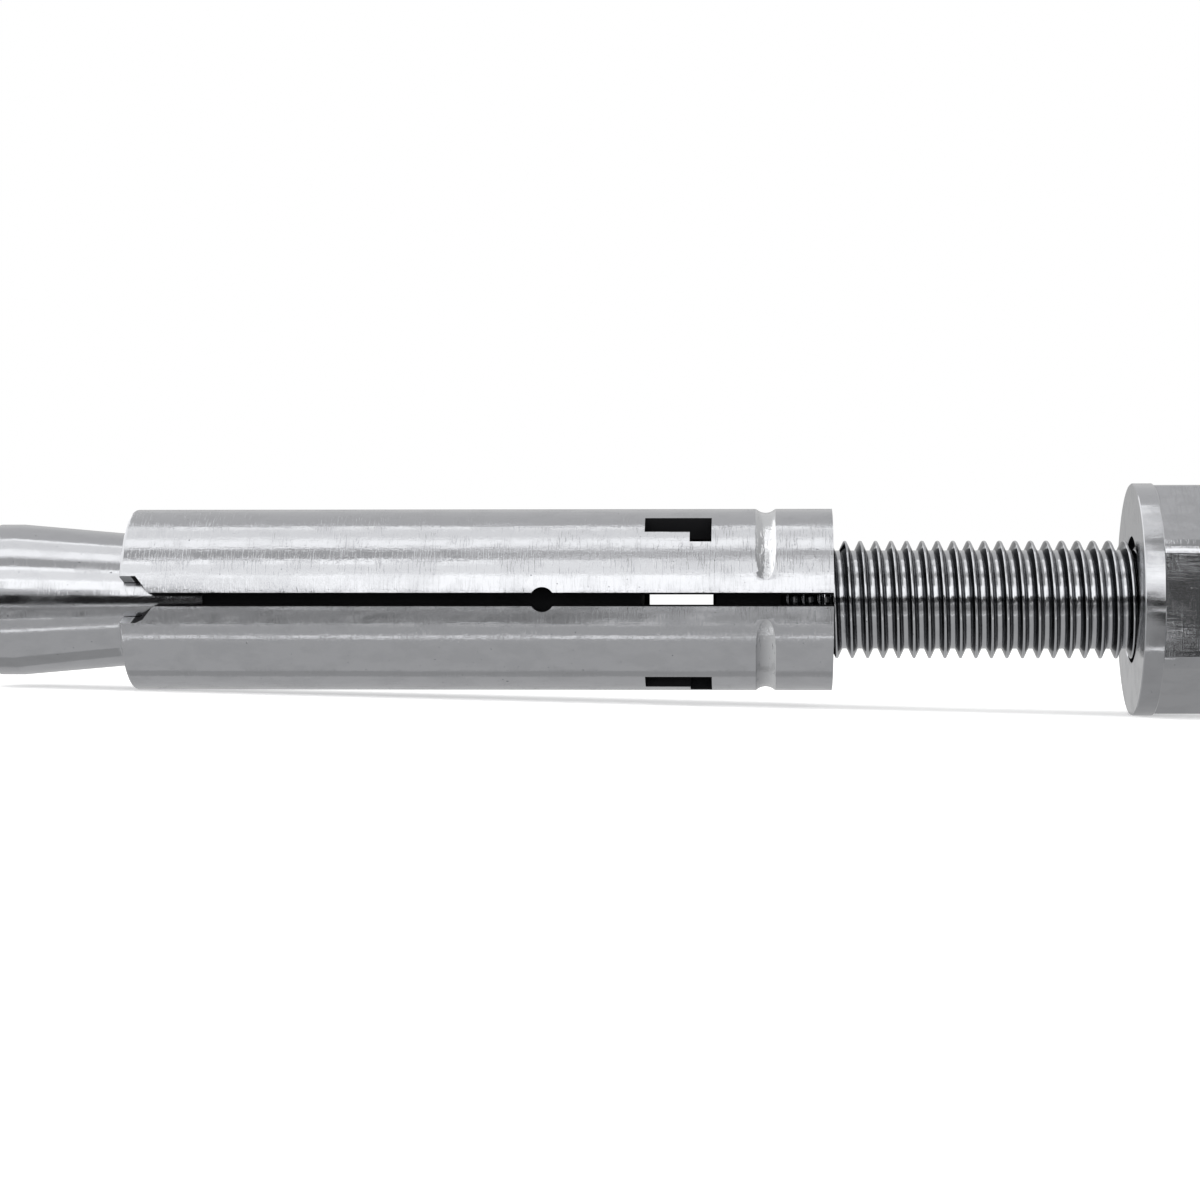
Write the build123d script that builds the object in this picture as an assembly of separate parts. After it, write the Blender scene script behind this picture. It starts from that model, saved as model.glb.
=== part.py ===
from build123d import *
import os
from math import cos, radians, sin, sqrt, tan

# Sleeve anchor: a cone-ended stud, a split expansion sleeve, a flat washer and a hex nut.
# The axis lies along X, with the cone at -X and the nut at +X. The sleeve's slit faces -Y, and +Z is up.
# The origin is on the axis at the sleeve's outer end, which sits at the surface of the wall.
# Angles round the axis count from the slit (-Y) towards the top (+Z).

# Thread and shank of the stud
thread_r = 4.95
thread_depth_to_shank = 0.42
thread_start_from_end = 4.33
stud_stick_out = 5.3
stud_end_chamfer = 0.8

# Expansion sleeve
sleeve_length = 59.07
sleeve_thread_clearance = 0.69
sleeve_wall = 2.0
sleeve_edge_round = 0.3
slit_angle = 8.5

# Flared mouth of the slit, on the outer surface
notch_width = 3.94
notch_straight = 1.38
notch_slope_angle = 45.0

# Round relief hole on the slit
relief_r = 1.03
relief_from_end = 23.94

# Three L-shaped windows: a long arm along the sleeve and a leg across it at the outer end
window_from_end = 10.04
window_length = 5.54
window_arm_angle = 15.5
window_leg_angle = 8.4
window_leg_width = 1.8
window_places = (55.0, 177.5, 295.0)

# Rolled groove behind the sleeve's outer end. It runs round the back and stops short of the slit.
groove_from_end = 5.56
groove_width = 1.57
groove_depth = 0.32
groove_start_angle = 29.0

# Cone of the stud. It fits the sleeve's mouth with a small clearance.
cone_taper_angle = 5.0
cone_mouth_clearance = 0.083
cone_depth_in_sleeve = 6.54
cone_length = 18.34
cone_land_length = 2.21
cone_edge_round = 0.35

# Cross slot through the shank, as high as the slit and in line with the rear window
cross_slot_margin = 0.35

# Hex nut. It stands turned a little from corners straight up and down.
nut_across_flats = 17.0
nut_corner_round = 1.3
nut_turned = -2.7
nut_thickness = 8.0
nut_bore_clearance = 0.05
nut_countersink = 0.45
nut_chamfer_angle = 30.0
nut_face_inset = 0.4

# Washer, about as wide as the nut's corners
washer_from_sleeve = 25.0
washer_overhang = 0.12
washer_hole_clearance = 0.35
washer_thickness = 1.7

# Share of a wall or a land that a rounded edge may take up
largest_round = 0.45

# Radii that follow from the sizes above
shank_r = thread_r - thread_depth_to_shank
sleeve_bore_r = thread_r + sleeve_thread_clearance
sleeve_outer_r = sleeve_bore_r + sleeve_wall
nut_sharp_corner_r = nut_across_flats / sqrt(3)
nut_corner_r = nut_sharp_corner_r - nut_corner_round * (2 / sqrt(3) - 1)
washer_outer_r = nut_corner_r + washer_overhang

# Places along the axis, from the cone's end to the stud's free end
sleeve_mouth_x = -sleeve_length
window_x_max = -window_from_end
window_x_min = window_x_max - window_length
cone_neck_x = sleeve_mouth_x + cone_depth_in_sleeve
cone_end_x = cone_neck_x - cone_length
cone_land_x = cone_end_x + cone_land_length
washer_x = washer_from_sleeve
nut_x = washer_x + washer_thickness
nut_end_x = nut_x + nut_thickness
stud_end_x = nut_end_x + stud_stick_out


def cone_radius(x):
    """Radius of the tapered part of the cone at a place along the axis."""
    mouth_r = sleeve_bore_r - cone_mouth_clearance
    return mouth_r + (sleeve_mouth_x - x) * tan(radians(cone_taper_angle))


def arc_of_degrees(angle):
    """Length along the sleeve's outer surface for an angle round the axis."""
    return radians(angle) * sleeve_outer_r


def degrees_of_arc(length):
    """Angle round the axis for a length along the sleeve's outer surface."""
    return length / radians(1) / sleeve_outer_r


def turned(points):
    """A solid of revolution about X from (x, radius) points."""
    return revolve(make_face(Polyline(*[(x, 0, r) for x, r in points], close=True)), Axis.X)


def through_wall(outline, angle):
    """A cutter whose sides point at the axis. The outline has (x, angle) points, and is centred on angle."""
    inside_bore = sleeve_bore_r - sleeve_wall
    outside_wall = sleeve_outer_r + sleeve_wall
    sections = []
    for y in (inside_bore, outside_wall):
        corners = [(x, -y, y * tan(radians(a))) for x, a in outline]
        sections.append(make_face(Polyline(*corners, close=True)))
    cutter = loft(sections, ruled=True)
    return cutter.rotate(Axis.X, -angle)


def slit_cutter():
    """The slit along the whole sleeve with its flared mouth."""
    half_slit = slit_angle / 2
    half_notch = degrees_of_arc(notch_width / 2)
    slope = (notch_width / 2 - arc_of_degrees(half_slit)) / tan(radians(notch_slope_angle))
    corner_x = sleeve_mouth_x + notch_straight
    half = [
        (sleeve_mouth_x - sleeve_wall, half_notch),
        (corner_x, half_notch),
        (corner_x + slope, half_slit),
        (sleeve_wall, half_slit),
    ]
    return through_wall(half + [(x, -a) for x, a in reversed(half)], 0)


def window_cutter(angle):
    """One L-shaped window. Its leg points towards smaller angles."""
    half_arm = window_arm_angle / 2
    leg_x = window_x_max - window_leg_width
    outline = [
        (window_x_min, half_arm),
        (window_x_max, half_arm),
        (window_x_max, -half_arm - window_leg_angle),
        (leg_x, -half_arm - window_leg_angle),
        (leg_x, -half_arm),
        (window_x_min, -half_arm),
    ]
    return through_wall(outline, angle)


def groove_cutter():
    """A round bar bent round the sleeve, with straight ends that run out of the wall beside the slit."""
    bar_r = (groove_width**2 / 4 + groove_depth**2) / (2 * groove_depth)
    path_r = sleeve_outer_r - groove_depth + bar_r
    runout = sqrt((sleeve_outer_r + 2 * bar_r) ** 2 - path_r**2)
    start = radians(groove_start_angle)
    begin = Vector(0, -path_r * cos(start), path_r * sin(start))
    finish = Vector(0, begin.Y, -begin.Z)
    tangent = Vector(0, -sin(start), -cos(start))
    mirrored = Vector(0, tangent.Y, -tangent.Z)
    path = Wire([
        Edge.make_line(begin + tangent * runout, begin),
        Edge.make_three_point_arc(begin, Vector(0, path_r, 0), finish),
        Edge.make_line(finish, finish + mirrored * runout),
    ])
    section = Plane(origin=begin + tangent * runout, z_dir=tangent) * Circle(bar_r)
    return Pos(-groove_from_end, 0, 0) * sweep(section, path=path)


def make_sleeve():
    """A steel strip rolled into a tube, with the slit, windows, relief hole and groove."""
    profile = [
        (sleeve_mouth_x, sleeve_bore_r),
        (sleeve_mouth_x, sleeve_outer_r),
        (0, sleeve_outer_r),
        (0, sleeve_bore_r),
    ]
    tube = turned(profile)
    rim = tube.edges().filter_by(GeomType.CIRCLE).group_by(Axis.X)[0].sort_by(SortBy.RADIUS)[-1]
    tube = fillet(rim, min(sleeve_edge_round, largest_round * sleeve_wall))
    tube -= groove_cutter()
    tube -= slit_cutter()
    for angle in window_places:
        tube -= window_cutter(angle)
    drill = Cylinder(relief_r, sleeve_outer_r, rotation=(90, 0, 0))
    tube -= Pos(-relief_from_end, -sleeve_outer_r, 0) * drill
    return tube.solid()


def make_stud():
    """The cone, the plain shank and the thread's outer cylinder, all turned from one bar."""
    thread_x = -thread_start_from_end
    land_r = cone_radius(cone_land_x)
    profile = [
        (cone_end_x, 0),
        (cone_end_x, land_r),
        (cone_land_x, land_r),
        (cone_neck_x, cone_radius(cone_neck_x)),
        (cone_neck_x, shank_r),
        (thread_x, shank_r),
        (thread_x + thread_depth_to_shank, thread_r),
        (stud_end_x - stud_end_chamfer, thread_r),
        (stud_end_x, thread_r - stud_end_chamfer),
        (stud_end_x, 0),
    ]
    stud = turned(profile)
    rim = stud.edges().filter_by(GeomType.CIRCLE).group_by(Axis.X)[0]
    stud = fillet(rim, min(cone_edge_round, largest_round * cone_land_length))
    slot_length = window_length + 2 * cross_slot_margin
    slot_middle = (window_x_min + window_x_max) / 2
    slit_width = 2 * sleeve_outer_r * sin(radians(slit_angle / 2))
    slot = Box(slot_length, 4 * thread_r, slit_width)
    stud -= Pos(slot_middle, 0, 0) * slot
    return stud.solid()


def make_washer():
    """A punched flat washer."""
    hole_r = thread_r + washer_hole_clearance
    profile = [
        (washer_x, hole_r),
        (washer_x, washer_outer_r),
        (nut_x, washer_outer_r),
        (nut_x, hole_r),
    ]
    return turned(profile).solid()


def make_nut():
    """A hex nut with rounded corners and one chamfered face."""
    bore_r = thread_r + nut_bore_clearance
    face_r = nut_across_flats / 2 - nut_face_inset
    hexagon = RegularPolygon(nut_sharp_corner_r, 6)
    hexagon = fillet(hexagon.vertices(), nut_corner_round)
    prism = extrude(Plane(origin=(nut_x, 0, 0), x_dir=(0, 0, 1), z_dir=(1, 0, 0)) * hexagon, nut_thickness)
    chamfer_depth = (nut_sharp_corner_r - face_r) * tan(radians(nut_chamfer_angle))
    blank = turned([
        (nut_x, bore_r + nut_countersink),
        (nut_x, nut_sharp_corner_r),
        (nut_end_x - chamfer_depth, nut_sharp_corner_r),
        (nut_end_x, face_r),
        (nut_end_x, bore_r + nut_countersink),
        (nut_end_x - nut_countersink, bore_r),
        (nut_x + nut_countersink, bore_r),
    ])
    return (prism & blank).solid().rotate(Axis.X, -nut_turned)


pieces = {
    "cone_stud": make_stud(),
    "expansion_sleeve": make_sleeve(),
    "flat_washer": make_washer(),
    "hex_nut": make_nut(),
}

os.makedirs("parts", exist_ok=True)
for name, shape in pieces.items():
    export_step(shape, f"parts/{name}.step")
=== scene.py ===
"""Sleeve anchor in zinc-plated steel: a cone-ended stud, a split sleeve, a washer and a nut."""

from math import atan2, cos, pi, radians, sin, sqrt, tan

import bpy
from mathutils import Matrix, Vector


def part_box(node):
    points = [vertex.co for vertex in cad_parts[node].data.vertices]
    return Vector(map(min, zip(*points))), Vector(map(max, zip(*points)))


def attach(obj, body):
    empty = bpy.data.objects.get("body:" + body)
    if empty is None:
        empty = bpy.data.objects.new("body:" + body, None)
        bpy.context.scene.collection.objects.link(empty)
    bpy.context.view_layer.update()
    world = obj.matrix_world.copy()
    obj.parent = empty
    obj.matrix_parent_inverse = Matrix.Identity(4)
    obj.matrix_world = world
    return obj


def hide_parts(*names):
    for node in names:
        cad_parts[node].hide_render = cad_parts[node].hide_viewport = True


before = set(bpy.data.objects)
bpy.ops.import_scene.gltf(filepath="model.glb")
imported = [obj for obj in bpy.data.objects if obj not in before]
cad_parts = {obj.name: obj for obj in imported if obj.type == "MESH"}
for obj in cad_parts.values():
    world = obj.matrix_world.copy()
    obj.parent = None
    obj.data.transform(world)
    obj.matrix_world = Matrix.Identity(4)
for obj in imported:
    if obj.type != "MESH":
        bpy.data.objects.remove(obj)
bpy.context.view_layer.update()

bl_info = {
    "name": "Sleeve Anchor",
    "version": (1, 0, 0),
    "blender": (4, 5, 0),
    "location": "View3D > Sidebar > Anchor",
    "description": "Models a zinc-plated sleeve anchor round its packed solids and sets its studio",
    "category": "Add Mesh",
}

MM = 0.001
# Corners nearer than this are welded, and a cut takes corners nearer than its slack as lying on it.
WELD = 0.0005 * MM
CUT_SLACK = 0.0001 * MM
# Room for tests on which faces lie at a place
HAIR = 0.01 * MM
STUD_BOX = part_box("cone_stud")
SLEEVE_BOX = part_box("expansion_sleeve")
WASHER_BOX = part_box("flat_washer")
NUT_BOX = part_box("hex_nut")


def length(name, description, default):
    """A size in metres that a user can change."""
    return bpy.props.FloatProperty(
        name=name, description=description, default=default, unit="LENGTH", precision=6
    )


def angle(name, description, default):
    """An angle that is given in degrees and shown as one."""
    return bpy.props.FloatProperty(
        name=name, description=description, default=radians(default), subtype="ANGLE"
    )


def number(name, description, default):
    """A plain number that a user can change."""
    return bpy.props.FloatProperty(name=name, description=description, default=default)


def linear(hex_colour):
    """An sRGB hex colour as linear red, green, blue and alpha."""
    channels = [int(hex_colour[i : i + 2], 16) / 255 for i in (1, 3, 5)]
    rgb = [c / 12.92 if c <= 0.04045 else ((c + 0.055) / 1.055) ** 2.4 for c in channels]
    return [*rgb, 1.0]


def colour(name, description, default):
    """A colour, given as an sRGB hex value."""
    return bpy.props.FloatVectorProperty(
        name=name,
        description=description,
        default=linear(default),
        subtype="COLOR",
        size=4,
        min=0,
        max=1,
    )


class StudSizes(bpy.types.PropertyGroup):
    """Sizes of the cone-ended stud."""

    thread_r: length("Thread radius", "Outside radius of the thread", 4.95 * MM)
    thread_depth: length("Thread depth", "From the thread's crest to its root", 0.82 * MM)
    pitch: length("Pitch", "Distance from crest to crest", 1.295 * MM)
    crest_width: length("Crest width", "Rounded top of the thread", 0.22 * MM)
    root_width: length("Root width", "Flat at the bottom of the thread", 0.36 * MM)
    crest_place: length("Crest place", "A crest's place along the axis, on top", 1.084 * MM)
    thread_start: length("Thread start", "Where the shank ends and the thread begins", -4.33 * MM)
    shank_r: length("Shank radius", "Radius of the plain shank", 4.53 * MM)
    end_chamfer: length("End chamfer", "Chamfer on the free end", 0.8 * MM)
    neck_x: length("Neck", "Where the cone meets the shank", -52.53 * MM)
    mouth_r: length("Radius at the mouth", "Radius of the cone where the sleeve begins", 5.557 * MM)
    taper: angle("Taper", "Angle between the cone and the axis", 5.0)
    land: length("Land", "Straight part at the big end", 2.21 * MM)
    land_round: length("Land round", "Rounding of the big end", 0.35 * MM)
    slot_height: length("Slot height", "Height of the slot through the shank", 1.133 * MM)
    slot_margin: length("Slot margin", "How far the slot runs past the window", 0.35 * MM)


class SleeveSizes(bpy.types.PropertyGroup):
    """Sizes of the expansion sleeve."""

    wall: length("Wall", "Thickness of the strip", 2.0 * MM)
    slit: angle("Slit", "Angle that the slit leaves open", 8.5)
    end_round: length("End round", "Rounding of the edge that goes into the hole first", 0.3 * MM)
    edge_round: length("Edge round", "Rounding of the punched edges", 0.05 * MM)
    notch_width: length("Notch width", "Width of the slit's flared mouth", 3.94 * MM)
    notch_straight: length("Notch length", "Straight part of the flared mouth", 1.38 * MM)
    relief_r: length("Relief radius", "Radius of the round hole on the slit", 1.03 * MM)
    relief_x: length("Relief place", "Place of the round hole along the axis", -23.94 * MM)
    window_end: length("Window end", "Outer end of the L-shaped windows", -10.04 * MM)
    window_length: length("Window length", "Length of the L-shaped windows", 5.54 * MM)
    window_arm: angle("Window arm", "Angle that the window's long arm leaves open", 15.5)
    window_leg: angle("Window leg", "Angle that the leg adds to the arm", 8.4)
    leg_width: length("Leg width", "Width of the leg along the axis", 1.8 * MM)
    windows: bpy.props.FloatVectorProperty(
        name="Windows",
        description="Angles of the three windows, from the slit towards the top",
        default=(radians(55.0), radians(177.5), radians(295.0)),
        subtype="EULER",
    )
    groove_x: length("Groove place", "Middle of the rolled groove", -5.56 * MM)
    groove_width: length("Groove width", "Width of the rolled groove", 1.57 * MM)
    groove_depth: length("Groove depth", "Depth of the rolled groove", 0.32 * MM)
    groove_start: angle("Groove start", "Where the groove leaves the surface, from the slit", 29.0)


class WasherSizes(bpy.types.PropertyGroup):
    """Sizes of the flat washer."""

    hole_r: length("Hole radius", "Radius of the washer's hole", 5.3 * MM)
    edge_round: length("Edge round", "Rounding of the punched rim", 0.08 * MM)


class NutSizes(bpy.types.PropertyGroup):
    """Sizes of the hex nut."""

    across_flats: length("Across flats", "Distance between opposite flats", 17.0 * MM)
    corner_round: length("Corner round", "Rounding of the six corners", 1.3 * MM)
    turned: angle("Turned", "How far the nut stands turned from corners straight up and down", -2.7)
    sink_r: length("Countersink radius", "Radius of the countersink at both faces", 5.45 * MM)
    bore_r: length("Bore radius", "Radius of the bore between the thread's ridges", 4.3 * MM)
    play: length("Thread play", "Room between the nut's thread and the stud's", 0.05 * MM)
    face_r: length("Face radius", "Radius of the flat outer face", 8.1 * MM)
    chamfer: angle("Chamfer", "Angle of the chamfer on the outer face", 30.0)


class Finish(bpy.types.PropertyGroup):
    """Colours of the zinc plating, its painted light and shade, and the studio."""

    plating: colour("Plating", "Bright zinc plating", "#BDBEC1")
    dull: colour("Dull plating", "Zinc plating where handling has dulled it", "#B8B9BC")
    speck: colour("Speck", "Small dark specks in the plating", "#77787B")
    # The flank colour is a painted shade for the thread's flanks.
    flank: colour("Flank", "Film that rolling leaves on the thread's flanks", "#5C5E61")
    # Rolled plating is a painted shade on the groove's first side.
    rolled: colour("Rolled plating", "Duller plating on the groove's first side", "#9A9B9E")
    # The next colour is a painted highlight on the groove's second side and top, and on the notch's
    # walls near the mouth.
    painted_highlight: colour("Burnished plating", "Plating that the roller has burnished", "#DADBDD")
    # The next colour is a near-black painted shade for bores, the shank inside the sleeve, the
    # washer's hole and the notch's walls.
    residue: colour("Residue", "Lubricant residue that darkens the bores", "#1C1C1E")
    floor: colour("Floor", "Pale floor", "#FAFAFA")


class StudioSizes(bpy.types.PropertyGroup):
    """Place of the camera and strength of the even white."""

    camera_x: length("Camera place", "The camera's place along the axis", -6.613 * MM)
    camera_back: length("Camera distance", "The camera's distance from the axis", 254.5 * MM)
    camera_down: length("Aim below", "How far below the axis the camera aims", 0.036 * MM)
    camera_yaw: angle("Camera yaw", "Turn of the camera towards the cone", 2.907)
    ambient: number("Ambient", "Strength of the even light from all round", 0.65)
    floor_lift: number("Floor lift", "White that the camera sees in the lit floor", 0.35)
    floor_in_metal: number("Floor in metal", "Even strength of the floor in reflections", 0.58)
    lens: number("Lens", "Focal length in millimetres on a 36 mm sensor", 90.4)


GROUPS = {
    "anchor_stud": StudSizes,
    "anchor_sleeve": SleeveSizes,
    "anchor_washer": WasherSizes,
    "anchor_nut": NutSizes,
    "anchor_finish": Finish,
    "anchor_studio": StudioSizes,
}


def deselect():
    """Deselects everything, so that an operator acts only on what is added or picked next."""
    bpy.ops.object.select_all(action="DESELECT")


def take(piece):
    """Selects one piece and nothing else."""
    deselect()
    piece.select_set(True)
    bpy.context.view_layer.objects.active = piece


def edit_mode(piece):
    """Opens one piece for editing, with nothing else selected."""
    take(piece)
    bpy.ops.object.mode_set(mode="EDIT")


def select_whole():
    """Selects the whole of the mesh that is open for editing."""
    bpy.ops.mesh.select_all(action="SELECT")


def edit_all(piece):
    """Opens one piece for editing with the whole of it selected."""
    edit_mode(piece)
    select_whole()


def object_mode():
    """Closes the piece that is open for editing."""
    bpy.ops.object.mode_set(mode="OBJECT")


def pick(piece, kind, test):
    """Opens a piece for editing and selects its faces, edges or vertices that pass a test. The
    mode is set first, or what lies between picked corners would be selected too."""
    parts = {"VERT": "vertices", "EDGE": "edges", "FACE": "polygons"}
    mesh = piece.data
    for each in parts.values():
        elements = getattr(mesh, each)
        elements.foreach_set("select", [False] * len(elements))
    for element in getattr(mesh, parts[kind]):
        element.select = bool(test(element))
    bpy.context.tool_settings.mesh_select_mode = [kind == each for each in parts]
    edit_mode(piece)


def draw(name, points, close=True):
    """Draws an outline from point to point, each pulled out of the one before."""
    deselect()
    bpy.ops.mesh.primitive_plane_add(size=MM, location=(0, 0, 0))
    outline = bpy.context.object
    outline.name = name
    edit_all(outline)
    bpy.ops.mesh.select_mode(type="VERT")
    bpy.ops.mesh.merge(type="CENTER")
    place = Vector(points[0])
    bpy.ops.transform.translate(value=place)
    route = [*points, points[0]] if close else points
    for point in route[1:]:
        step = Vector(point) - place
        bpy.ops.mesh.extrude_vertices_move(TRANSFORM_OT_translate={"value": step})
        place = Vector(point)
    if close:
        select_whole()
        bpy.ops.mesh.remove_doubles(threshold=WELD)
    object_mode()
    return outline


def close_up():
    """Welds the open mesh, clears what is loose and turns its faces outwards."""
    select_whole()
    bpy.ops.mesh.remove_doubles(threshold=WELD)
    bpy.ops.mesh.delete_loose(use_verts=True, use_edges=True, use_faces=False)
    select_whole()
    bpy.ops.mesh.normals_make_consistent(inside=False)


def spin(steps, turned, **settings):
    """Spins what is selected round the axis, by an angle from the slit towards the top."""
    bpy.ops.mesh.spin(steps=steps, angle=turned, center=(0, 0, 0), axis=(1, 0, 0), **settings)


def turn(name, points):
    """Turns an outline of (x, radius) points round the axis into a closed solid."""
    piece = draw(name, [(x, 0, r) for x, r in points])
    edit_all(piece)
    spin(steps=192, turned=2 * pi, use_auto_merge=True)
    close_up()
    object_mode()
    return piece


def modify(piece, kind, **settings):
    """Adds a modifier and applies it."""
    take(piece)
    modifier = piece.modifiers.new(kind.title(), kind)
    for name, value in settings.items():
        setattr(modifier, name, value)
    bpy.ops.object.modifier_apply(modifier=modifier.name)


def combine(piece, tool, operation):
    """Joins, cuts or intersects a piece with a tool, and removes the tool."""
    modify(piece, "BOOLEAN", operation=operation, solver="MANIFOLD", object=tool)
    bpy.data.objects.remove(tool)
    if not piece.data.polygons:
        raise RuntimeError(f"{piece.name} came out empty")


def seat(piece, body, node, slot, material, *others, sharp=32):
    """Smooths a piece, gives it its finishes and lets it stand for its node. Each of the others is
    a finish and a test for the faces that carry it. Edges of more than sharp degrees stay crisp."""
    take(piece)
    bpy.ops.object.shade_smooth_by_angle(angle=radians(sharp))
    modify(piece, "WEIGHTED_NORMAL", keep_sharp=True)
    piece.data.materials.clear()
    piece.data.materials.append(material)
    for index, (finish, carries) in enumerate(others, start=1):
        piece.data.materials.append(finish)
        for face in piece.data.polygons:
            if carries(face):
                face.material_index = index
    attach(piece, body)
    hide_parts(node)


def on_round(x, radius, turned):
    """A point at a place along the axis, at an angle from the slit towards the top."""
    return (x, -radius * cos(turned), radius * sin(turned))


def radius_of(point):
    """Distance of a point from the axis."""
    return sqrt(point.y**2 + point.z**2)


def add_node(tree, kind, settings=None, links=None):
    """Adds a node with its settings and the sockets that feed it."""
    node = tree.nodes.new(kind)
    for name, value in (settings or {}).items():
        if isinstance(name, int) or name in node.inputs:
            node.inputs[name].default_value = value
        else:
            setattr(node, name, value)
    for name, source in (links or {}).items():
        tree.links.new(source, node.inputs[name])
    return node


def ramp(tree, value, low=0.0, high=1.0, to_low=0.0, to_high=1.0):
    """Spreads what lies between low and high over another range, and stays inside that."""
    ends = {1: low, 2: high, 3: to_low, 4: to_high}
    return add_node(tree, "ShaderNodeMapRange", ends, {0: value}).outputs[0]


def marks(tree, place, size, low, high, detail=2.0):
    """A noise whose blobs have a size in millimetres along X, Y and Z. It fades in from low to
    high."""
    scale = [1 / (mm * MM) for mm in size]
    scaled = add_node(tree, "ShaderNodeMapping", {"Scale": scale}, {"Vector": place})
    noise = add_node(
        tree, "ShaderNodeTexNoise", {"Scale": 1.0, "Detail": detail}, {"Vector": scaled.outputs[0]}
    )
    return ramp(tree, noise.outputs[0], low, high)


def new_finish(name):
    """A material, its nodes, its shader and the place on the piece that its patterns read."""
    material = bpy.data.materials.new(name)
    material.use_nodes = True
    tree = material.node_tree
    place = add_node(tree, "ShaderNodeTexCoord").outputs["Object"]
    return material, tree, tree.nodes["Principled BSDF"], place


def painted_recess_shade(name, unshaded=None):
    """Painted shade for bores and other recesses: a near black with a faint, broken sheen from its
    uneven roughness. When two places along the axis are given, a painted highlight of bright
    plating goes over into the painted shade between them."""
    finish = bpy.context.scene.anchor_finish
    material, tree, shader, place = new_finish(name)
    shade_masks = marks(tree, place, (3.0, 0.8, 0.8), 0.35, 0.65)
    rough = ramp(tree, shade_masks, to_low=0.8)
    shader.inputs["Base Color"].default_value = finish.residue
    shader.inputs["Specular IOR Level"].default_value = 0.1
    # Painted highlight: before the given places the colour is bright plating, which then goes over
    # into the painted shade.
    if unshaded:
        along = add_node(tree, "ShaderNodeSeparateXYZ", links={0: place}).outputs[0]
        shade_share = ramp(tree, along, *unshaded)
        colours = {"data_type": "RGBA", 6: finish.painted_highlight, 7: finish.residue}
        tint = add_node(tree, "ShaderNodeMix", colours, {0: shade_share})
        metal = add_node(tree, "ShaderNodeMath", {"operation": "SUBTRACT", 0: 1.0}, {1: shade_share})
        rough = ramp(tree, shade_share, to_low=0.35, to_high=0.9)
        tree.links.new(tint.outputs[2], shader.inputs["Base Color"])
        tree.links.new(metal.outputs[0], shader.inputs["Metallic"])
    tree.links.new(rough, shader.inputs["Roughness"])
    return material


def zinc_plated(name, roughness, scratch, lay, depth, flanks=None, rolled=None):
    """Zinc-plated steel. The plating is bright and thin, follows the marks of the metal under it,
    and is dulled in patches by handling. Scratch and lay are the sizes in millimetres of its two
    kinds of lines. Flanks gives the radii between which a thread's flanks carry a painted shade.
    Rolled gives the two places along the axis between which a groove goes from painted shade to
    painted highlight."""
    finish = bpy.context.scene.anchor_finish
    material, tree, shader, place = new_finish(name)
    # Real lines are some 0.02 mm wide and real grain is finer still, which a render doesn't show.
    # Both are drawn about ten times coarser.
    patches = marks(tree, place, (2.4, 1.6, 1.6), 0.44, 0.62, 6.0)
    lines = marks(tree, place, scratch, 0.54, 0.66, 3.0)
    layers = marks(tree, place, lay, 0.3, 0.7)
    grain = marks(tree, place, (0.35, 0.25, 0.25), 0.3, 0.7, 4.0)
    specks = marks(tree, place, (0.3, 0.3, 0.3), 0.74, 0.77)

    product = {"operation": "MULTIPLY"}
    worn = ramp(tree, patches, to_low=0.4)
    height = add_node(tree, "ShaderNodeMath", product, {0: lines, 1: worn})
    for share, finer in ((0.35, layers), (0.25, grain)):
        settings = {"operation": "MULTIPLY_ADD", 1: share}
        height = add_node(tree, "ShaderNodeMath", settings, {0: finer, 2: height.outputs[0]})
    bump = add_node(
        tree, "ShaderNodeBump", {"Strength": 1.0, "Distance": depth}, {"Height": height.outputs[0]}
    )
    rough = ramp(tree, patches, to_low=roughness, to_high=roughness + 0.08)
    colours = {"data_type": "RGBA", 6: finish.plating, 7: finish.dull}
    dulled = add_node(tree, "ShaderNodeMix", colours, {0: patches})
    colours = {"data_type": "RGBA", 7: finish.speck}
    tint = add_node(tree, "ShaderNodeMix", colours, {0: specks, 6: dulled.outputs[2]})
    if flanks or rolled:
        parts = add_node(tree, "ShaderNodeSeparateXYZ", links={0: place}).outputs
    # Painted shade: the thread's flanks are darkened towards the flank colour, where they would lie
    # in shade.
    if flanks:
        across = add_node(tree, "ShaderNodeCombineXYZ", links={1: parts[1], 2: parts[2]})
        radius = add_node(
            tree, "ShaderNodeVectorMath", {"operation": "LENGTH"}, {0: across.outputs[0]}
        )
        root, crest = flanks
        fade = 0.04 * MM
        # The painted shade on the flanks starts with the thread's first full turn.
        bounds = (
            (root, root + fade, radius.outputs["Value"]),
            (crest, crest - fade, radius.outputs["Value"]),
            (-4.2 * MM, -3.9 * MM, parts[0]),
        )
        shade_masks = [ramp(tree, value, unshaded, full) for unshaded, full, value in bounds]
        flank = add_node(tree, "ShaderNodeMath", product, {0: shade_masks[0], 1: shade_masks[1]})
        flank = add_node(tree, "ShaderNodeMath", product, {0: flank.outputs[0], 1: shade_masks[2]})
        colours = {"data_type": "RGBA", 7: finish.flank}
        tint = add_node(tree, "ShaderNodeMix", colours, {0: flank.outputs[0], 6: tint.outputs[2]})
    if rolled:
        # Painted light and shade: the groove goes from a painted shade on its first side to a
        # painted highlight on its second, and grows lighter from the slit's height to its upper
        # end.
        links = {0: ramp(tree, parts[0], *rolled), 1: ramp(tree, parts[2], high=4.4 * MM)}
        either = add_node(tree, "ShaderNodeMath", {"operation": "MAXIMUM"}, links)
        colours = {"data_type": "RGBA", 6: finish.rolled, 7: finish.painted_highlight}
        tint = add_node(tree, "ShaderNodeMix", colours, {0: either.outputs[0]})
    shader.inputs["Metallic"].default_value = 1.0
    tree.links.new(tint.outputs[2], shader.inputs["Base Color"])
    tree.links.new(rough, shader.inputs["Roughness"])
    tree.links.new(bump.outputs[0], shader.inputs["Normal"])
    return material


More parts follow.
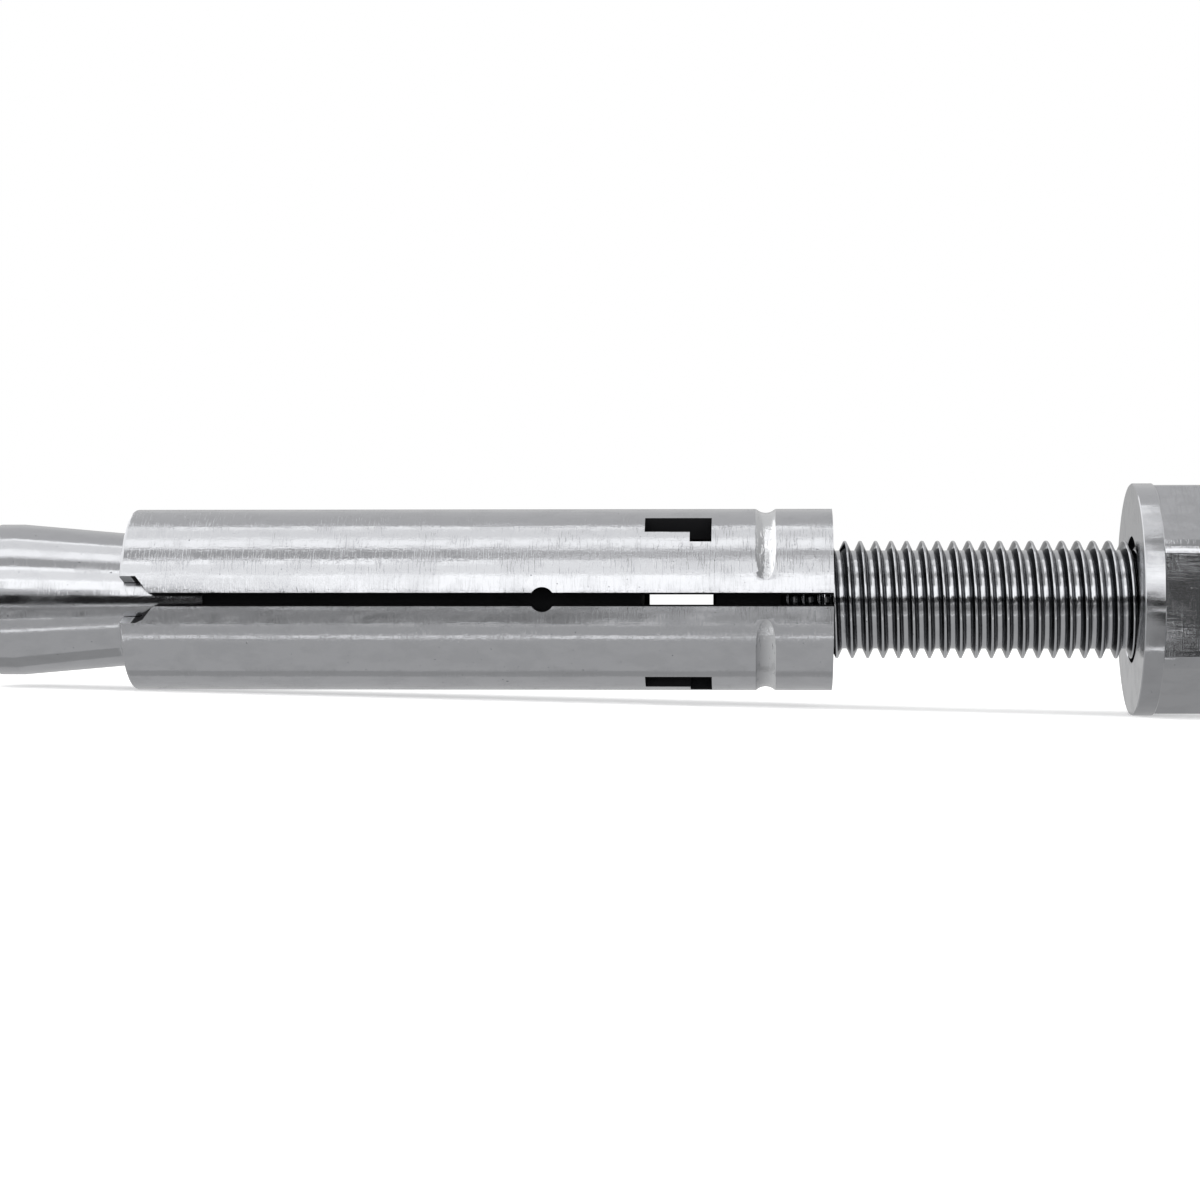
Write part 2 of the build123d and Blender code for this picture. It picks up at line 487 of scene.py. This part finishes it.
def thread_solid(sizes, start, end, clearance=0.0, steps=96):
    """A threaded rod. The profile of one tooth climbs round the axis, and both ends are cut off
    square."""
    crest = sizes.thread_r + clearance
    root = crest - sizes.thread_depth
    half_crest = sizes.crest_width / 2 + clearance / 2
    half_root = sizes.root_width / 2 - clearance / 2
    middle = sizes.pitch / 2
    # Rolling rounds the crest and leaves a small curve at the root.
    shoulder = 0.03 * MM
    flank = [
        (0, crest),
        (half_crest / 2, crest - shoulder / 4),
        (half_crest * 0.85, crest - shoulder),
        (half_crest, crest - 2 * shoulder),
        (middle - half_root - shoulder, root + 2 * shoulder),
        (middle - half_root, root + shoulder / 2),
        (middle - half_root + shoulder, root),
    ]
    tooth = flank + [(sizes.pitch - x, r) for x, r in reversed(flank)]
    turns_before = int((sizes.crest_place - start) / sizes.pitch) + 2
    first = sizes.crest_place - turns_before * sizes.pitch
    turns = int((end - first) / sizes.pitch) + 2
    rod = draw("thread", [(first + x, 0, r) for x, r in tooth], close=False)
    climb = {"screw_offset": sizes.pitch, "iterations": turns}
    modify(rod, "SCREW", axis="X", steps=steps, render_steps=steps, **climb)
    edit_mode(rod)
    close_up()
    for place, away in ((start, -1), (end, 1)):
        select_whole()
        bpy.ops.mesh.bisect(
            plane_co=(place, 0, 0),
            plane_no=(away, 0, 0),
            use_fill=True,
            clear_outer=True,
            threshold=CUT_SLACK,
        )
    select_whole()
    bpy.ops.mesh.normals_make_consistent(inside=False)
    object_mode()
    return rod


class AnchorOperator:
    """What the operators share."""

    bl_options = {"REGISTER", "UNDO"}


class MESH_OT_anchor_stud(AnchorOperator, bpy.types.Operator):
    """Turn the stud with its cone, roll its thread and mill its slot"""

    bl_idname = "mesh.anchor_stud"
    bl_label = "Cone Stud"

    def execute(self, context):
        sizes = context.scene.anchor_stud
        sleeve = context.scene.anchor_sleeve
        big_end = STUD_BOX[0].x
        free_end = STUD_BOX[1].x
        mouth = SLEEVE_BOX[0].x

        def cone_r(x):
            return sizes.mouth_r + (mouth - x) * tan(sizes.taper)

        land_x = big_end + sizes.land
        land_r = cone_r(land_x)
        rounding = [
            (
                big_end + sizes.land_round * (1 - sin(radians(degrees))),
                land_r - sizes.land_round * (1 - cos(radians(degrees))),
            )
            for degrees in range(90, -1, -15)
        ]
        blank = turn(
            "cone_stud_body",
            [(big_end, 0)]
            + rounding
            + [
                (land_x, land_r),
                (sizes.neck_x, cone_r(sizes.neck_x)),
                (sizes.neck_x, sizes.shank_r),
                (sizes.thread_start, sizes.shank_r),
                (sizes.thread_start, sizes.shank_r / 2),
                (sizes.thread_start + MM, 0),
            ],
        )
        rod = thread_solid(sizes, sizes.thread_start, free_end)
        step = sizes.thread_r - sizes.shank_r
        outside = turn(
            "thread_outside",
            [
                (sizes.thread_start - MM, 0),
                (sizes.thread_start - MM, sizes.shank_r),
                (sizes.thread_start, sizes.shank_r),
                (sizes.thread_start + step, sizes.thread_r + step / 2),
                (free_end - sizes.end_chamfer - step / 2, sizes.thread_r + step / 2),
                (free_end + MM, sizes.thread_r - sizes.end_chamfer - MM),
                (free_end + MM, 0),
            ],
        )
        combine(rod, outside, "INTERSECT")
        combine(blank, rod, "UNION")
        slot_length = sleeve.window_length + 2 * sizes.slot_margin
        deselect()
        bpy.ops.mesh.primitive_cube_add(
            size=1,
            location=(sleeve.window_end - sleeve.window_length / 2, 0, 0),
            scale=(slot_length, 4 * sizes.thread_r, sizes.slot_height),
        )
        combine(blank, context.object, "DIFFERENCE")
        # Turning leaves fine rings round the bar, which draw its highlights out along the axis.
        plating = zinc_plated(
            "zinc_plated_turned_bar",
            roughness=0.1,
            scratch=(0.2, 1.5, 1.5),
            lay=(0.3, 9.0, 9.0),
            depth=0.005 * MM,
            # Painted shade darkens the thread's flanks between these radii.
            flanks=(sizes.thread_r - sizes.thread_depth + 0.05 * MM, sizes.thread_r - 0.06 * MM),
        )
        # Painted shade: the shank inside the sleeve, seen through the slit and the windows, is
        # coloured near black.
        shade_finish = painted_recess_shade("residue_darkened_shank")

        def is_shank(face):
            between_ends = sizes.neck_x - HAIR < face.center.x < sizes.thread_start + step
            return between_ends and radius_of(face.center) < sizes.shank_r + 0.02 * MM

        seat(blank, "stud", "cone_stud", "stud_steel", plating, (shade_finish, is_shank))
        return {"FINISHED"}


class MESH_OT_anchor_sleeve(AnchorOperator, bpy.types.Operator):
    """Roll the sleeve from strip, punch its windows and notch, and press its groove"""

    bl_idname = "mesh.anchor_sleeve"
    bl_label = "Expansion Sleeve"

    def execute(self, context):
        sizes = context.scene.anchor_sleeve
        outer_r = SLEEVE_BOX[1].z
        inner_r = outer_r - sizes.wall
        mouth = SLEEVE_BOX[0].x
        end = SLEEVE_BOX[1].x
        half_slit = sizes.slit / 2
        half_notch = sizes.notch_width / 2 / outer_r
        notch_x = mouth + sizes.notch_straight
        slope_x = notch_x + (half_notch - half_slit) * outer_r
        window_start = sizes.window_end - sizes.window_length
        leg_x = sizes.window_end - sizes.leg_width
        half_arm = sizes.window_arm / 2
        windows = [
            (middle - half_arm - sizes.window_leg, middle - half_arm, middle + half_arm)
            for middle in sizes.windows
        ]

        # The strip is rolled from stop to stop, so that the windows' sides fall on its edges.
        stops = sorted({half_slit, 2 * pi - half_slit} | {stop for w in windows for stop in w})
        facet = radians(1.4)
        sleeve = draw(
            "expansion_sleeve_body",
            [on_round(mouth, inner_r, half_slit), on_round(mouth, outer_r, half_slit)],
            close=False,
        )
        edit_all(sleeve)
        for first, last in zip(stops, stops[1:]):
            spin(max(1, round((last - first) / facet)), last - first)
        select_whole()
        place = mouth
        for station in (window_start, leg_x, sizes.window_end, end):
            step = (station - place, 0, 0)
            bpy.ops.mesh.extrude_region_move(TRANSFORM_OT_translate={"value": step})
            place = station
        close_up()
        object_mode()

        def in_wall(face):
            """True for a face of the inner or outer wall, and not of an end or of the slit."""
            middle = face.center
            outwards = Vector((0, middle.y, middle.z)).normalized()
            return abs(face.normal.dot(outwards)) > 0.9

        def in_window(face, window):
            low = window[0] if face.center.x > leg_x else window[1]
            turned = atan2(face.center.z, -face.center.y) % (2 * pi)
            return window_start < face.center.x < sizes.window_end and low < turned < window[2]

        for window in windows:
            pick(sleeve, "FACE", lambda face: in_wall(face) and in_window(face, window))
            bpy.ops.mesh.delete(type="FACE")
            bpy.ops.mesh.select_mode(type="EDGE")
            off = ("use_wire", "use_multi_face", "use_non_contiguous", "use_verts")
            bpy.ops.mesh.select_non_manifold(extend=False, **dict.fromkeys(off, False))
            bpy.ops.mesh.bridge_edge_loops()
            object_mode()

        def on_mouth_rim(edge):
            ends = [sleeve.data.vertices[v].co for v in edge.vertices]
            return all(
                abs(co.x - mouth) < WELD and abs(radius_of(co) - outer_r) < WELD for co in ends
            )

        pick(sleeve, "EDGE", on_mouth_rim)
        bpy.ops.mesh.bevel(offset=sizes.end_round, segments=4, affect="EDGES", profile=0.5)
        object_mode()

        beyond = slope_x + sizes.notch_width / 8
        inside_slit = half_slit - sizes.notch_width / 8 / outer_r
        notch = draw(
            "notch_cutter",
            [
                on_round(x, inner_r - sizes.wall, turned)
                for x, turned in (
                    (mouth - MM, half_notch),
                    (notch_x, half_notch),
                    (beyond, inside_slit),
                    (beyond, -inside_slit),
                    (notch_x, -half_notch),
                    (mouth - MM, -half_notch),
                )
            ],
        )
        grow = (outer_r + sizes.wall) / (inner_r - sizes.wall)
        edit_all(notch)
        bpy.ops.mesh.edge_face_add()
        bpy.ops.mesh.extrude_region()
        bpy.ops.transform.resize(value=(1, grow, grow), center_override=(0, 0, 0))
        close_up()
        object_mode()
        combine(sleeve, notch, "DIFFERENCE")

        edit_mode(sleeve)
        bpy.ops.mesh.select_mode(type="EDGE")
        bpy.ops.mesh.select_all(action="DESELECT")
        bpy.ops.mesh.edges_select_sharp(sharpness=radians(40))
        bpy.ops.mesh.bevel(offset=sizes.edge_round, segments=2, affect="EDGES", clamp_overlap=True)
        object_mode()

        # Cuts beside the groove keep its shading off the plain wall. They stay clear of the slit.
        slit_room = 1.2 * MM
        groove_room = 0.15 * MM

        def by_groove(face):
            off_slit = face.center.y > 0 or abs(face.center.z) > slit_room
            return face.center.x > sizes.window_end and off_slit

        half_groove = sizes.groove_width / 2
        for side in (-1, 1):
            beside = sizes.groove_x + side * (half_groove + groove_room)
            pick(sleeve, "FACE", by_groove)
            bpy.ops.mesh.bisect(plane_co=(beside, 0, 0), plane_no=(1, 0, 0), threshold=CUT_SLACK)
            object_mode()

        # The groove is pressed by a bar bent round the sleeve, and its shoulders stay soft. The
        # section runs a little past them on both sides.
        bar_r = (half_groove**2 + sizes.groove_depth**2) / (2 * sizes.groove_depth)
        soft = 0.04 * MM
        above = outer_r + sizes.wall
        swell = []
        for sixteenth in range(-18, 19):
            x = half_groove * sixteenth / 16
            pressed = sizes.groove_depth - bar_r + sqrt(bar_r**2 - x**2)
            swell.append((x, outer_r - (pressed + sqrt(pressed**2 + soft**2)) / 2))
        section = [(swell[0][0], above)] + swell + [(swell[-1][0], above)]
        groove = draw(
            "groove_cutter",
            [on_round(sizes.groove_x + x, r, sizes.groove_start) for x, r in section],
        )
        edit_all(groove)
        bpy.ops.mesh.edge_face_add()
        spin(steps=160, turned=2 * pi - 2 * sizes.groove_start)
        object_mode()
        # Straight ends run out of the wall, nearly as far as the middle of the slit.
        runout = 0.9 * outer_r * tan(sizes.groove_start)
        for side in (1, -1):
            turned = side * sizes.groove_start
            cap = Vector(on_round(sizes.groove_x, outer_r + sizes.wall / 2, turned))
            along = Vector((0, -sin(sizes.groove_start), -side * cos(sizes.groove_start)))

            def is_end(face):
                gap = face.center - cap
                flat = abs(gap.dot(along)) < HAIR and abs(face.normal.dot(along)) > 0.99
                return flat and gap.length < sizes.wall

            pick(groove, "FACE", is_end)
            bpy.ops.mesh.extrude_region_move(TRANSFORM_OT_translate={"value": along * runout})
            object_mode()
        edit_mode(groove)
        close_up()
        object_mode()
        combine(sleeve, groove, "DIFFERENCE")

        deselect()
        bpy.ops.mesh.primitive_cylinder_add(
            vertices=64,
            radius=sizes.relief_r,
            depth=4 * sizes.wall,
            location=(sizes.relief_x, -outer_r, 0),
            rotation=(pi / 2, 0, 0),
        )
        combine(sleeve, context.object, "DIFFERENCE")

        # Rolled strip has long fine lines under its plating, and handling crosses them with
        # scuffs, so that the bright wall looks slightly hammered.
        plating = zinc_plated(
            "zinc_plated_rolled_strip",
            roughness=0.12,
            scratch=(0.14, 1.3, 1.3),
            lay=(7.0, 0.5, 0.5),
            depth=0.013 * MM,
        )
        # The groove is a little rougher than the strip, with a painted shade on its one side and a
        # painted highlight on the other.
        rolled = zinc_plated(
            "zinc_plated_rolled_groove",
            roughness=0.16,
            scratch=(0.3, 1.3, 1.3),
            lay=(0.7, 0.7, 0.7),
            depth=0.035 * MM,
            rolled=(sizes.groove_x - half_groove, sizes.groove_x + 0.8 * half_groove),
        )
        # Painted shade: the bore and the walls of the slit, the windows and the relief hole are
        # coloured near black. The notch's walls carry a painted highlight near the mouth and
        # painted shade deeper in.
        shade_finish = painted_recess_shade("residue_darkened_bore")
        notch_light_and_shade = painted_recess_shade(
            "residue_darkened_notch", unshaded=(notch_x - 0.5 * MM, notch_x - 0.35 * MM)
        )
        skin = 0.1 * MM

        def depth_of(face):
            """How far a face's middle lies under the sleeve's outside."""
            return outer_r - radius_of(face.center)

        def by_notch(face):
            return face.center.x < slope_x and abs(face.center.z) < sizes.notch_width

        def is_bore(face):
            """True for the bore and for the walls of the slit, the windows and the relief hole."""
            depth = depth_of(face)
            below_groove = depth > sizes.groove_depth + 0.05 * MM
            by_window = window_start - WELD < face.center.x < sizes.window_end + WELD
            inside = below_groove and abs(face.normal.x) < 0.9 and not by_notch(face)
            return depth > skin and (inside or by_window)

        def is_notch(face):
            """True for the walls of the slit's flared mouth."""
            in_wall_depth = skin < depth_of(face) < sizes.wall - skin
            return by_notch(face) and in_wall_depth and abs(face.normal.x) < 0.9

        def is_groove(face):
            in_groove = abs(face.center.x - sizes.groove_x) < half_groove + 0.05 * MM
            return in_groove and HAIR < depth_of(face) < sizes.groove_depth + 2 * HAIR

        others = ((rolled, is_groove), (shade_finish, is_bore), (notch_light_and_shade, is_notch))
        seat(sleeve, "sleeve", "expansion_sleeve", "sleeve_steel", plating, *others)
        return {"FINISHED"}


class MESH_OT_anchor_washer(AnchorOperator, bpy.types.Operator):
    """Punch the flat washer"""

    bl_idname = "mesh.anchor_washer"
    bl_label = "Flat Washer"

    def execute(self, context):
        sizes = context.scene.anchor_washer
        near = WASHER_BOX[0].x
        far = WASHER_BOX[1].x
        rim_r = min(WASHER_BOX[1].y, -WASHER_BOX[0].z)
        edge = sizes.edge_round
        washer = turn(
            "flat_washer_body",
            [
                (near, sizes.hole_r + edge),
                (near, rim_r - edge),
                (near + edge, rim_r),
                (far - edge, rim_r),
                (far, rim_r - edge),
                (far, sizes.hole_r + edge),
                (far - edge, sizes.hole_r),
                (near + edge, sizes.hole_r),
            ],
        )
        # Plate keeps the mill's fine lines and shines evenly.
        plating = zinc_plated(
            "zinc_plated_punched_plate",
            roughness=0.12,
            scratch=(3.0, 0.25, 0.25),
            lay=(1.0, 0.5, 0.5),
            depth=0.002 * MM,
        )
        # Painted shade: the wall of the hole is coloured near black.
        shade_finish = painted_recess_shade("residue_darkened_hole")

        def is_hole(face):
            return radius_of(face.center) < sizes.hole_r + edge / 4

        seat(washer, "washer", "flat_washer", "washer_steel", plating, (shade_finish, is_hole))
        return {"FINISHED"}


class MESH_OT_anchor_nut(AnchorOperator, bpy.types.Operator):
    """Form the hex nut, chamfer its outer face and tap its bore"""

    bl_idname = "mesh.anchor_nut"
    bl_label = "Hex Nut"

    def execute(self, context):
        sizes = context.scene.anchor_nut
        near = NUT_BOX[0].x
        far = NUT_BOX[1].x
        sharp_r = sizes.across_flats / sqrt(3)
        deselect()
        bpy.ops.mesh.primitive_cylinder_add(
            vertices=6,
            radius=sharp_r,
            depth=far - near,
            location=((near + far) / 2, 0, 0),
            rotation=(pi / 2, 0, pi / 2),
        )
        nut = context.object
        nut.name = "hex_nut_body"
        bpy.ops.object.transform_apply(location=True, rotation=True, scale=True)

        def is_corner(edge):
            first, last = (nut.data.vertices[v].co.x for v in edge.vertices)
            return abs(last - first) > MM

        pick(nut, "EDGE", is_corner)
        # A corner between flats at 60 degrees starts to round this far from it.
        offset = sizes.corner_round * tan(radians(30))
        bpy.ops.mesh.bevel(offset=offset, segments=8, affect="EDGES")
        object_mode()
        wide_r = sharp_r + MM
        chamfer_start = far - (wide_r - sizes.face_r) * tan(sizes.chamfer)
        blank = turn(
            "nut_blank",
            [
                (near - MM, 0),
                (near - MM, wide_r),
                (chamfer_start, wide_r),
                (far, sizes.face_r),
                (far, 0),
            ],
        )
        combine(nut, blank, "INTERSECT")
        nut.data.transform(Matrix.Rotation(-sizes.turned, 4, "X"))
        sink = sizes.sink_r - sizes.bore_r
        bore = turn(
            "nut_bore",
            [
                (near - MM, 0),
                (near - MM, sizes.sink_r + MM),
                (near + sink, sizes.bore_r),
                (far - sink, sizes.bore_r),
                (far + MM, sizes.sink_r + MM),
                (far + MM, 0),
            ],
        )
        combine(nut, bore, "DIFFERENCE")
        tap = thread_solid(context.scene.anchor_stud, near - MM, far + MM, clearance=sizes.play)
        combine(nut, tap, "DIFFERENCE")
        # Cold forming drags faint lines along and across the flats and leaves them grey.
        plating = zinc_plated(
            "zinc_plated_cold_formed",
            roughness=0.1,
            scratch=(0.2, 2.5, 2.5),
            lay=(2.5, 2.5, 0.2),
            depth=0.006 * MM,
        )
        seat(nut, "nut", "hex_nut", "nut_steel", plating, sharp=25)
        return {"FINISHED"}


def emitter(name, strength, streaks=0.0):
    """A surface that gives off light. Streaks is the share that comes and goes across it."""
    material = bpy.data.materials.new(name)
    material.use_nodes = True
    tree = material.node_tree
    tree.nodes.clear()
    glow = add_node(tree, "ShaderNodeEmission", {"Strength": strength})
    if streaks:
        place = add_node(tree, "ShaderNodeTexCoord").outputs["Object"]
        streaked = marks(tree, place, (0.9, 9.0, 9.0), 0.35, 0.65, 5.0)
        low, high = strength * (1 - streaks), strength * (1 + streaks)
        varied = ramp(tree, streaked, to_low=low, to_high=high)
        tree.links.new(varied, glow.inputs["Strength"])
    add_node(tree, "ShaderNodeOutputMaterial", links={"Surface": glow.outputs["Emission"]})
    return material


def seen_at(x, degrees_up, distance):
    """A place at an angle above the horizon, counted from the front over the top."""
    up = radians(degrees_up)
    return Vector((x, -distance * cos(up), distance * sin(up)))


def spanned(corner, opposite):
    """The corner and the two sides of a flat rectangle that runs along X or stands across it."""
    gap = opposite - corner
    if abs(gap.x) > MM:
        return corner, Vector((gap.x, 0, 0)), Vector((0, gap.y, gap.z))
    return corner, Vector((0, gap.y, 0)), Vector((0, 0, gap.z))


def add_softbox(name, low, high, strength, distance=900 * MM, half_length=800 * MM):
    """A long soft lamp above the floor, between two angles. It is as bright as a white of that
    strength, and the metal doesn't mirror it."""
    corner, along, side = spanned(
        seen_at(-half_length, low, distance), seen_at(half_length, high, distance)
    )
    lamp = bpy.data.lights.new(name, "AREA")
    lamp.shape = "RECTANGLE"
    lamp.size = along.length
    lamp.size_y = side.length
    lamp.energy = strength * pi * lamp.size * lamp.size_y
    softbox = bpy.data.objects.new(name, lamp)
    bpy.context.scene.collection.objects.link(softbox)
    axes = (along.normalized(), side.normalized(), along.cross(side).normalized())
    softbox.matrix_world = Matrix(axes).transposed().to_4x4()
    softbox.matrix_world.translation = corner + along / 2 + side / 2
    softbox.visible_camera = False
    softbox.visible_glossy = False


def add_card(name, corner, opposite, strength, streaks=0.0):
    """A card beside the anchor, between two opposite corners. Only the metal mirrors it."""
    corner, along, side = spanned(corner, opposite)
    place = Matrix((along / 2, side / 2, along.cross(side).normalized())).transposed().to_4x4()
    place.translation = corner + along / 2 + side / 2
    deselect()
    bpy.ops.mesh.primitive_plane_add(size=2, location=(0, 0, 0))
    card = bpy.context.object
    card.name = name
    card.data.transform(place)
    card.data.materials.append(emitter(name, strength, streaks))
    card.visible_camera = False
    card.visible_diffuse = False
    card.visible_shadow = False


# Cards that stand round the anchor like a tent, seen from the axis. Each has its ends along the
# axis in millimetres, its low and high edge in degrees from the front over the top, and its
# strength, where 1 is white.
CARD_DISTANCE = 850 * MM
FAR_CARDS = (
    ("front_low_silk_left", -800, -172, 7, 28, 1.35),
    ("front_low_silk", -172, 100, 7, 28, 1.9),
    ("front_low_fade", 100, 141, 7, 14, 0.55),
    ("front_low_silk_washer", 100, 141, 14, 20, 1.2),
    ("front_silk_washer", 100, 141, 20, 55.5, 1.9),
    ("front_low_silk_nut", 141, 800, -2, 31, 1.9),
    ("front_silk_nut", 141, 800, 31, 34, 1.7),
    ("front_seam", -800, 100, 28, 31, 2.0),
    ("front_silk", -800, 100, 31, 46, 1.4),
    ("front_edge_left", -800, -99, 46, 51.5, 1.9),
    ("front_edge", -99, 100, 46, 52, 1.35),
    ("front_edge_top", -99, 100, 52, 57.5, 1.0),
    ("front_gap_left", -800, -99, 51.5, 66, 0.58),
    ("front_gap", -99, 100, 57.5, 64.5, 0.72),
    ("front_gap_washer", 100, 141, 55.5, 62, 0.42),
    ("top_edge_left", -800, -99, 66, 69.5, 1.1),
    ("top_edge", -99, 100, 64.5, 69.5, 1.25),
    ("top_front_silk", -800, 100, 69.5, 83, 1.7),
    ("top_silk", -800, 100, 83, 102, 1.25),
    ("top_silk_washer", 100, 141, 62, 102, 1.6),
    ("top_front_card_nut", 141, 800, 34, 68, 0.45),
    ("top_card_nut", 141, 800, 68, 102, 0.5),
    ("back_strip", -800, 141, 102, 106, 1.8),
    ("back_card", -800, 141, 106, 165, 0.7),
    ("back_card_nut", 141, 800, 102, 165, 0.6),
    ("back_low_card", -800, 800, 165, 182, 0.5),
)

# Cards and flags that stand near it, each with two opposite corners in millimetres, its strength
# and for some the share of it that comes and goes in streaks. Those of the camera stand between
# it and the anchor, and those of the table lie under the anchor.
NEAR_CARDS = (
    ("camera_flag_left", (-300, -62, -7.2), (-2, -62, 7.4), 0.02),
    ("camera_flag_middle", (-2, -62, -7.2), (31, -62, 7.4), 0.14),
    ("camera_flag_washer", (31, -62, -7.2), (33.9, -62, 7.4), 0.02),
    ("camera_flag_right", (33.9, -62, -14), (300, -62, 0.4), 0.1),
    ("camera_flag_cone", (-90, -62, 7.4), (-63, -62, 12.5), 0.57),
    ("camera_fade_cone", (-90, -62, 12.5), (-63, -62, 17.2), 0.84),
    ("roof_card_nut", (34.5, -60, 62), (300, 10, 62), 0.47),
    ("table_flag_nut", (28.5, -62, -9.6), (60, -25, -9.6), 0.06),
    ("table_card_nut", (24.5, -25, -9.6), (60, 30, -9.6), 0.45),
    ("table_shade", (-300, -4.4, -7.62), (1, -3.57, -7.62), 0.45),
    ("far_table_strip", (-300, -15.6, -7), (1, -15.1, -7), 1.1),
    ("near_table_strip", (-60, -10.7, -7), (1, -10.15, -7), 1.4),
    ("cone_table_strip", (-82, -10.1, -7), (-60, -9.3, -7), 1.5),
    ("cone_table_shade", (-82, -3.8, -7.04), (-60, -1.9, -7.04), 0.42),
    ("thread_table_strip", (1, -11.6, -6.9), (28, -11.1, -6.9), 1.5),
    ("left_low_card", (-350, -900, -30), (-350, 900, 130), 1.5),
    ("left_card", (-350, -900, 130), (-350, 900, 800), 1.5),
    ("right_low_flag", (350, -900, -30), (350, 900, 60), 0.03),
    ("table_card_left", (-300, -62, -7), (-20, -15.6, -7), 0.38, 0.5),
    ("table_card_middle", (-20, -62, -7), (1, -15.6, -7), 0.55, 0.5),
    ("table_card_thread", (1, -62, -7), (26, -15.6, -7), 0.34, 0.5),
    ("table_card_washer", (26, -62, -7), (28.2, -11, -7), 0.4, 0.5),
    ("front_table_strip", (-300, -44, -6.9), (34, -39, -6.9), 1.1, 0.5),
)


class SCENE_OT_anchor_studio(AnchorOperator, bpy.types.Operator):
    """Lay the pale floor, hang the soft lights and set the camera"""

    bl_idname = "scene.anchor_studio"
    bl_label = "Studio"

    def execute(self, context):
        scene = context.scene
        studio = scene.anchor_studio
        scene.view_settings.view_transform = "Standard"

        world = bpy.data.worlds.new("white_studio")
        world.use_nodes = True
        scene.world = world
        tree = world.node_tree
        tree.nodes.clear()
        # Pure white where the camera, metal or glass sees it, and an even light on all else.
        rays = add_node(tree, "ShaderNodeLightPath").outputs
        seen = rays["Is Camera Ray"]
        for ray in ("Is Glossy Ray", "Is Transmission Ray"):
            either = {"operation": "MAXIMUM"}
            seen = add_node(tree, "ShaderNodeMath", either, {0: seen, 1: rays[ray]}).outputs[0]
        ambient, white = (
            add_node(tree, "ShaderNodeBackground", {"Color": (1, 1, 1, 1), "Strength": strength})
            for strength in (studio.ambient, 1.0)
        )
        links = {0: seen, 1: ambient.outputs[0], 2: white.outputs[0]}
        both = add_node(tree, "ShaderNodeMixShader", links=links)
        add_node(tree, "ShaderNodeOutputWorld", links={"Surface": both.outputs[0]})

        # The anchor lies on the washer's rim and on the sleeve's far end.
        low_right = Vector((WASHER_BOX[1].x, 0, WASHER_BOX[0].z))
        low_left = Vector((SLEEVE_BOX[0].x, 0, SLEEVE_BOX[0].z))
        lean = atan2(low_left.z - low_right.z, low_right.x - low_left.x)
        deselect()
        bpy.ops.mesh.primitive_circle_add(
            vertices=96, radius=3.0, fill_type="NGON", location=(0, 0, 0)
        )
        floor = context.object
        floor.name = "floor"
        floor.rotation_euler = (0, lean, 0)
        floor.location = low_right
        material = bpy.data.materials.new("pale_floor")
        material.use_nodes = True
        tree = material.node_tree
        shader = tree.nodes["Principled BSDF"]
        shader.inputs["Base Color"].default_value = scene.anchor_finish.floor
        shader.inputs["Roughness"].default_value = 1.0
        shader.inputs["Specular IOR Level"].default_value = 0.0
        # The camera sees the lit floor lifted to white, and metal sees it evenly grey.
        rays = add_node(tree, "ShaderNodeLightPath").outputs
        even = add_node(tree, "ShaderNodeEmission", {"Strength": studio.floor_in_metal})
        share = {"operation": "MULTIPLY", 1: studio.floor_lift}
        lift = add_node(tree, "ShaderNodeMath", share, {0: rays["Is Camera Ray"]})
        glow = add_node(tree, "ShaderNodeEmission", links={"Strength": lift.outputs[0]})
        links = {0: shader.outputs[0], 1: glow.outputs[0]}
        seen = add_node(tree, "ShaderNodeAddShader", links=links)
        links = {0: rays["Is Glossy Ray"], 1: seen.outputs[0], 2: even.outputs[0]}
        both = add_node(tree, "ShaderNodeMixShader", links=links)
        tree.links.new(both.outputs[0], tree.nodes["Material Output"].inputs["Surface"])
        floor.data.materials.append(material)

        add_softbox("front_softbox", 8, 46, 1.3)
        add_softbox("top_softbox", 62, 101, 1.0)
        for name, left, right, low, high, strength in FAR_CARDS:
            corner = seen_at(left * MM, low, CARD_DISTANCE)
            opposite = seen_at(right * MM, high, CARD_DISTANCE)
            add_card(name, corner, opposite, strength)
        for name, corner, opposite, *light in NEAR_CARDS:
            add_card(name, Vector(corner) * MM, Vector(opposite) * MM, *light)

        camera = bpy.data.objects.new("camera", bpy.data.cameras.new("camera"))
        scene.collection.objects.link(camera)
        camera.data.lens = studio.lens
        camera.data.sensor_width = 36
        camera.data.clip_start = 0.01
        camera.location = (studio.camera_x, -studio.camera_back, -studio.camera_down)
        camera.rotation_euler = (pi / 2, 0, studio.camera_yaw)
        scene.camera = camera
        return {"FINISHED"}


class VIEW3D_PT_anchor(bpy.types.Panel):
    """Buttons for the anchor's pieces and its sizes"""

    bl_label = "Sleeve Anchor"
    bl_space_type = "VIEW_3D"
    bl_region_type = "UI"
    bl_category = "Anchor"

    def draw(self, context):
        layout = self.layout
        for operator in OPERATORS:
            layout.operator(operator.bl_idname)
        for name, group in GROUPS.items():
            box = layout.box()
            box.label(text=group.__doc__)
            for size in group.__annotations__:
                box.prop(getattr(context.scene, name), size)


OPERATORS = (
    MESH_OT_anchor_stud,
    MESH_OT_anchor_sleeve,
    MESH_OT_anchor_washer,
    MESH_OT_anchor_nut,
    SCENE_OT_anchor_studio,
)


def register():
    for name, group in GROUPS.items():
        bpy.utils.register_class(group)
        setattr(bpy.types.Scene, name, bpy.props.PointerProperty(type=group))
    for each in (*OPERATORS, VIEW3D_PT_anchor):
        bpy.utils.register_class(each)


def unregister():
    for each in (VIEW3D_PT_anchor, *reversed(OPERATORS)):
        bpy.utils.unregister_class(each)
    for name, group in reversed(GROUPS.items()):
        delattr(bpy.types.Scene, name)
        bpy.utils.unregister_class(group)


def main():
    """Models the anchor and sets the studio."""
    register()
    bpy.ops.mesh.anchor_stud()
    bpy.ops.mesh.anchor_sleeve()
    bpy.ops.mesh.anchor_washer()
    bpy.ops.mesh.anchor_nut()
    bpy.ops.scene.anchor_studio()


if __name__ == "__main__":
    main()
